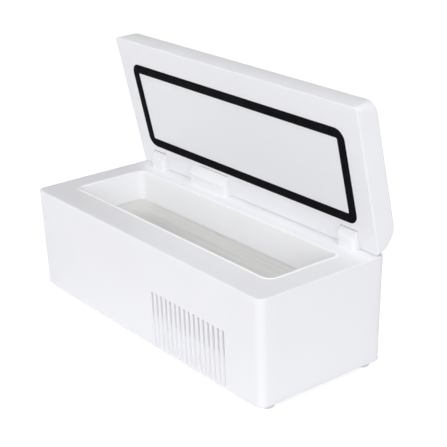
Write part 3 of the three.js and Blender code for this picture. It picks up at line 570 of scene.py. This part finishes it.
def seal_outline(grow, radius):
    """The seal's centre line round the well's edge, grown by a distance."""
    return rounded_rectangle(
        -seal_half_x - grow, seal_half_x + grow, seal_front - grow, seal_rear + grow, radius)


small_turn, large_turn = quarter(8)[1], quarter(16)[1]
heights = np.unique(np.round(np.r_[
    lid_under + lid_mouth_round * small_turn, lid_under + lid_mouth_crisp * small_turn,
    lid_top - lid_top_round * small_turn, lid_top - lid_rear_round * large_turn], 3))
lid_rows = []
for z in heights:
    mouth_inset = inset_at(z - lid_under, lid_mouth_crisp)
    top_inset = inset_at(lid_top - z, lid_top_round)
    rising = (z - lid_under) / lid_thickness
    end = case_half_x - max(inset_at(z - lid_under, lid_mouth_round), top_inset)
    front = lid_front - lid_front_draft * (1 - rising) + max(mouth_inset, top_inset)
    rear = lid_rear - max(mouth_inset, inset_at(lid_top - z, lid_rear_round))
    full = lid_mouth_corner + (lid_corner - lid_mouth_corner) * rising
    corner = max(full - (case_half_x - end), full / 4)
    lid_rows.append(level(rounded_rectangle(-end, end, front, rear, corner), z))
for inset in lid_face_insets:
    end = case_half_x - lid_top_round - inset
    front, rear = lid_front + lid_top_round + inset, lid_rear - lid_rear_round - inset / 2
    lid_rows.append(level(rounded_rectangle(-end, end, front, rear, lid_face_corner), lid_top))
lid = skin("lid_moulding", lid_rows)


def pocket(x0, x1, radius):
    """Cutter for an ear's pocket: an arc about the hinge line, then a slope over the ear's back, carried
    along X. It is open below and behind."""
    floor, back = lid_under - 2 * cut_margin, lid_rear + 2 * cut_margin
    turn = np.linspace(pi - ear_slope - pocket_lead, pi + asin(-floor / radius), 25)
    arc = radius * np.column_stack([np.cos(turn), np.sin(turn)])
    plan = np.vstack([arc, [(back, floor), (back, pocket_back_top)]])
    ends = (x0 - pocket_gap, x1 + pocket_gap)
    return skin("pocket", [np.column_stack([np.full(len(plan), x), plan]) for x in ends])


pockets = [pocket(size["x0"], size["x1"], size["reach"] + pocket_room[name]) for name, size in ears.items()]
seat_plan = seal_outline(0, panel_corner)
seat_heights = (lid_under - cut_margin, lid_under + panel_thickness + seat_gap)
seat = skin("panel_seat", [level(seat_plan, z) for z in seat_heights])
window_low, window_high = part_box("display_window")
window_half_x = (window_high.x - window_low.x) / 2 / mm
seat_x, seat_y = window_half_x + fit_gap, window_half_y + fit_gap
window_plan = rounded_rectangle(
    -seat_x, seat_x, window_y - seat_y, window_y + seat_y, window_corner + fit_gap)
window_heights = (lid_top - window_thickness - seat_gap, lid_top + cut_margin)
window_seat = skin("window_seat", [level(window_plan, z) for z in window_heights])
button_x = window_half_x + button_offset
button_places = {i: [button_x, window_y + (i - 2) * button_pitch] for i in (1, 2, 3)}
well_radius = button_radius + fit_gap
well_rows = [(well_radius, lid_top - button_well_depth), (well_radius, lid_top - button_well_chamfer)]
well_rows += [(well_radius + button_well_chamfer, z) for z in (lid_top, lid_top + cut_margin)]
button_wells = [skin("button_well", [level(circle(64) * r + place, z) for r, z in well_rows])
                for place in button_places.values()]
carve(lid, pockets + [seat, window_seat] + button_wells)
# The lid is the same white plastic as the case, coloured a touch lighter here. That is painted light: it
# brightens the lid's inner face where the lamps leave it slightly darker than the case.
lid_white_painted_light = moulded("lid_white_painted_light", (0.868, 0.868, 0.888), (0.893, 0.893, 0.913), rough=0.36, grain=0.25,
                    Specular_IOR_Level=white_sheen)
dress(opened(lid), lid_white_painted_light, "lid", "white_plastic", "lid_shell")

# Lid panel: a flat white plastic sheet, a little greyer than the moulding. It is pressed into the lid's mouth
# over the foam, and its edge is slightly chamfered.
panel_chamfer = 0.2
panel_rows = [(panel_chamfer, lid_under), (0, lid_under + panel_chamfer), (0, lid_under + panel_thickness)]
panel = skin("lid_inner_panel", [
    level(seal_outline(-fit_gap - inset, panel_corner - inset), z) for inset, z in panel_rows])
panel_white = moulded("panel_white", (0.848, 0.853, 0.868), (0.873, 0.878, 0.893), rough=0.42, grain=0.2,
                      drift=9, Specular_IOR_Level=white_sheen)
dress(opened(panel), panel_white, "lid", "panel_plastic", "lid_panel")

# Lid gasket: a black silicone ring glued over the panel's joint, round outside and nearly square inside. Its
# face is slightly domed where it meets the well's lip.
gasket_half = 2.75
gasket_height = 0.6
gasket_glue = 0.05
gasket_outer_corner = 6.2
gasket_inner_corner = 0.7
gasket_low, gasket_high = lid_under - gasket_height, lid_under - gasket_glue
outer = seal_outline(gasket_half, gasket_outer_corner)
inner = seal_outline(-gasket_half, gasket_inner_corner)
across = np.linspace(0, 1, 13)
dome = gasket_high - (gasket_high - gasket_low) * (1 - np.abs(2 * across - 1) ** 5)
rings = [level(outer * (1 - t) + inner * t, z) for t, z in zip(across, dome)]
gasket = skin("lid_seal", rings[::-1] + [level(outer, gasket_high)], ring=True)
seal_rubber = moulded("seal_rubber", (0.004, 0.004, 0.0055), (0.007, 0.007, 0.009), rough=0.75, grain=0.6,
                      drift=160, Specular_IOR_Level=0.03)
dress(opened(gasket), seal_rubber, "lid", "black_rubber", "lid_gasket")

# Display and switches in the lid's outer face: a dark window over the display module, a board with a switch
# under each button, foam behind them, and three round buttons with dished tops.
window_black = moulded("window_black", (0.01, 0.012, 0.015), (0.014, 0.017, 0.02), rough=0.08, grain=0.02,
                       drift=30)
lcd_grey = moulded("lcd_grey", (0.22, 0.26, 0.22), (0.27, 0.31, 0.27), rough=0.2, grain=0.05, drift=80)
for node, look in {
        "lid_insulation": foam_white, "display_window": window_black, "lcd_module": lcd_grey,
        "control_board": board_green}.items():
    dress(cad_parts[node], look)

button_grey = moulded("button_grey", (0.5, 0.52, 0.56), (0.56, 0.58, 0.62), rough=0.38, grain=0.35,
                      drift=60)
button_depth = 3.1
button_proud = 0.8
button_edge = 0.5
dish_depth = 0.35
dish_shares = np.linspace(1, 0.06, 8)[1:]
button_top = lid_top + button_proud
dish_radius = button_radius - button_edge
button_rows = [(button_radius, lid_top - button_depth)]
button_rows += [(button_radius - button_edge * inset, button_top - button_edge * (1 - rise))
                for rise, inset in zip(*quarter(6))]
button_rows += [(dish_radius * d, button_top - dish_depth * (1 - d ** 2)) for d in dish_shares]
for i, place in button_places.items():
    cap = skin(f"button_cap_{i}", [level(circle(64) * r + place, z) for r, z in button_rows])
    dress(opened(cap), button_grey, f"button_{i}", "button_plastic", f"button_{i}")

# Studio: a plain white floor that keeps the object's soft shadow, and a pale surround, brighter towards the
# front. A broad soft lamp stands beside the camera, weaker ones to the left and right, above and behind, and
# a narrow one over the hinge. Sizes are in metres.
floor_z = -foot_height * mm
floor_half = 6.0
floor_glow = 0.6
floor_corners = rounded_rectangle(-floor_half, floor_half, -floor_half, floor_half, 0, arc=0, side=0)
floor_mesh = bpy.data.meshes.new("floor")
floor_mesh.from_pydata(level(floor_corners, floor_z), [], [(0, 1, 2, 3)])
floor = bpy.data.objects.new("floor", floor_mesh)
scene.collection.objects.link(floor)
floor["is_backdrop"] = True


def seen_directly(tree):
    """1 for camera, glossy and transmission rays, 0 for the light that falls on the object."""
    path = add(tree, "ShaderNodeLightPath").outputs
    seen = path["Is Camera Ray"]
    for ray in ("Is Glossy Ray", "Is Transmission Ray"):
        seen = add(tree, "ShaderNodeMath", {0: seen, 1: path[ray]}, operation="MAXIMUM").outputs[0]
    return seen


floor_white, tree, shader, place = finish("floor_white", Roughness=0.9, Emission_Color=(1, 1, 1, 1))
tone = tinted(tree, spread(tree, place, 3, 0, 1), (0.78, 0.78, 0.79), (0.8, 0.8, 0.81))
glow = add(tree, "ShaderNodeMath", {0: seen_directly(tree), 1: floor_glow}, operation="MULTIPLY").outputs[0]
tree.links.new(tone, shader.inputs["Base Color"])
tree.links.new(glow, shader.inputs["Emission Strength"])
floor_mesh.materials.append(floor_white)

bright_way = (0.5, -0.8, 0.2)
surround_dim = 0.03
surround_bright = 0.63
world = bpy.data.worlds.new("surround")
world.use_nodes = True
scene.world = world
tree = world.node_tree
backdrop = tree.nodes["Background"]
way = add(tree, "ShaderNodeTexCoord").outputs["Generated"]
forward = add(tree, "ShaderNodeVectorMath", {0: way, 1: bright_way}, operation="DOT_PRODUCT")
strength = add(tree, "ShaderNodeMapRange", {
    "Value": forward.outputs["Value"], "From Min": -0.7, "From Max": 0.85,
    "To Min": surround_dim, "To Max": surround_bright}, interpolation_type="SMOOTHSTEP")
backdrop.inputs["Color"].default_value = (1, 1, 1, 1)
tree.links.new(strength.outputs[0], backdrop.inputs["Strength"])


def softbox(name, azimuth, elevation, distance, size, watts, colour=(1, 1, 1), aim=(0, 0, 0.05), beam=180):
    """An area lamp, aimed at a point from an azimuth and an elevation, with its beam's width in degrees."""
    lamp = bpy.data.lights.new(name, "AREA")
    lamp.shape = "RECTANGLE"
    lamp.size, lamp.size_y = size
    lamp.spread = radians(beam)
    lamp.energy = watts
    lamp.color = colour
    holder = bpy.data.objects.new(name, lamp)
    turn = Matrix.Rotation(radians(azimuth), 4, "Z") @ Matrix.Rotation(pi / 2 - radians(elevation), 4, "X")
    holder.matrix_world = Matrix.Translation(aim) @ turn @ Matrix.Translation((0, 0, distance))
    scene.collection.objects.link(holder)


cool = (0.955, 0.965, 1.0)
softbox("key_lamp", azimuth=53, elevation=22, distance=3.0, size=(1.8, 1.8), watts=32.8, colour=cool)
softbox("left_lamp", azimuth=-40, elevation=10, distance=2.8, size=(1.6, 0.8), watts=10.5, colour=cool)
softbox("right_lamp", azimuth=105, elevation=12, distance=2.8, size=(1.6, 1.0), watts=8.8, colour=cool)
softbox("top_lamp", azimuth=20, elevation=72, distance=1.5, size=(1.0, 1.0), watts=6.9)
softbox("back_lamp", azimuth=192, elevation=16, distance=2.8, size=(0.9, 0.9), watts=11.0, colour=cool)
softbox("hinge_lamp", azimuth=0, elevation=80, distance=0.45, size=(0.24, 0.012), watts=0.0013,
        colour=(0.96, 0.97, 1.0), aim=(0, 0.033, 0.058), beam=3)

# Camera: a long lens to the front right of the case and a little above it, as the photograph was taken. Its
# place, turn and lens were fitted to the edges of the case and the lid.
azimuth, elevation, roll = radians(52.4), radians(21.687), radians(-1.52)
camera_place = (0.487562, -0.358506, 0.295334)
camera = bpy.data.cameras.new("camera")
camera.sensor_width = 36
camera.lens = 98.28
camera.clip_end = 50
stand = bpy.data.objects.new("camera", camera)
stand.matrix_world = (
    Matrix.Translation(camera_place) @ Matrix.Rotation(azimuth, 4, "Z")
    @ Matrix.Rotation(pi / 2 - elevation, 4, "X") @ Matrix.Rotation(roll, 4, "Z"))
scene.collection.objects.link(stand)
scene.camera = stand

low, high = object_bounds()
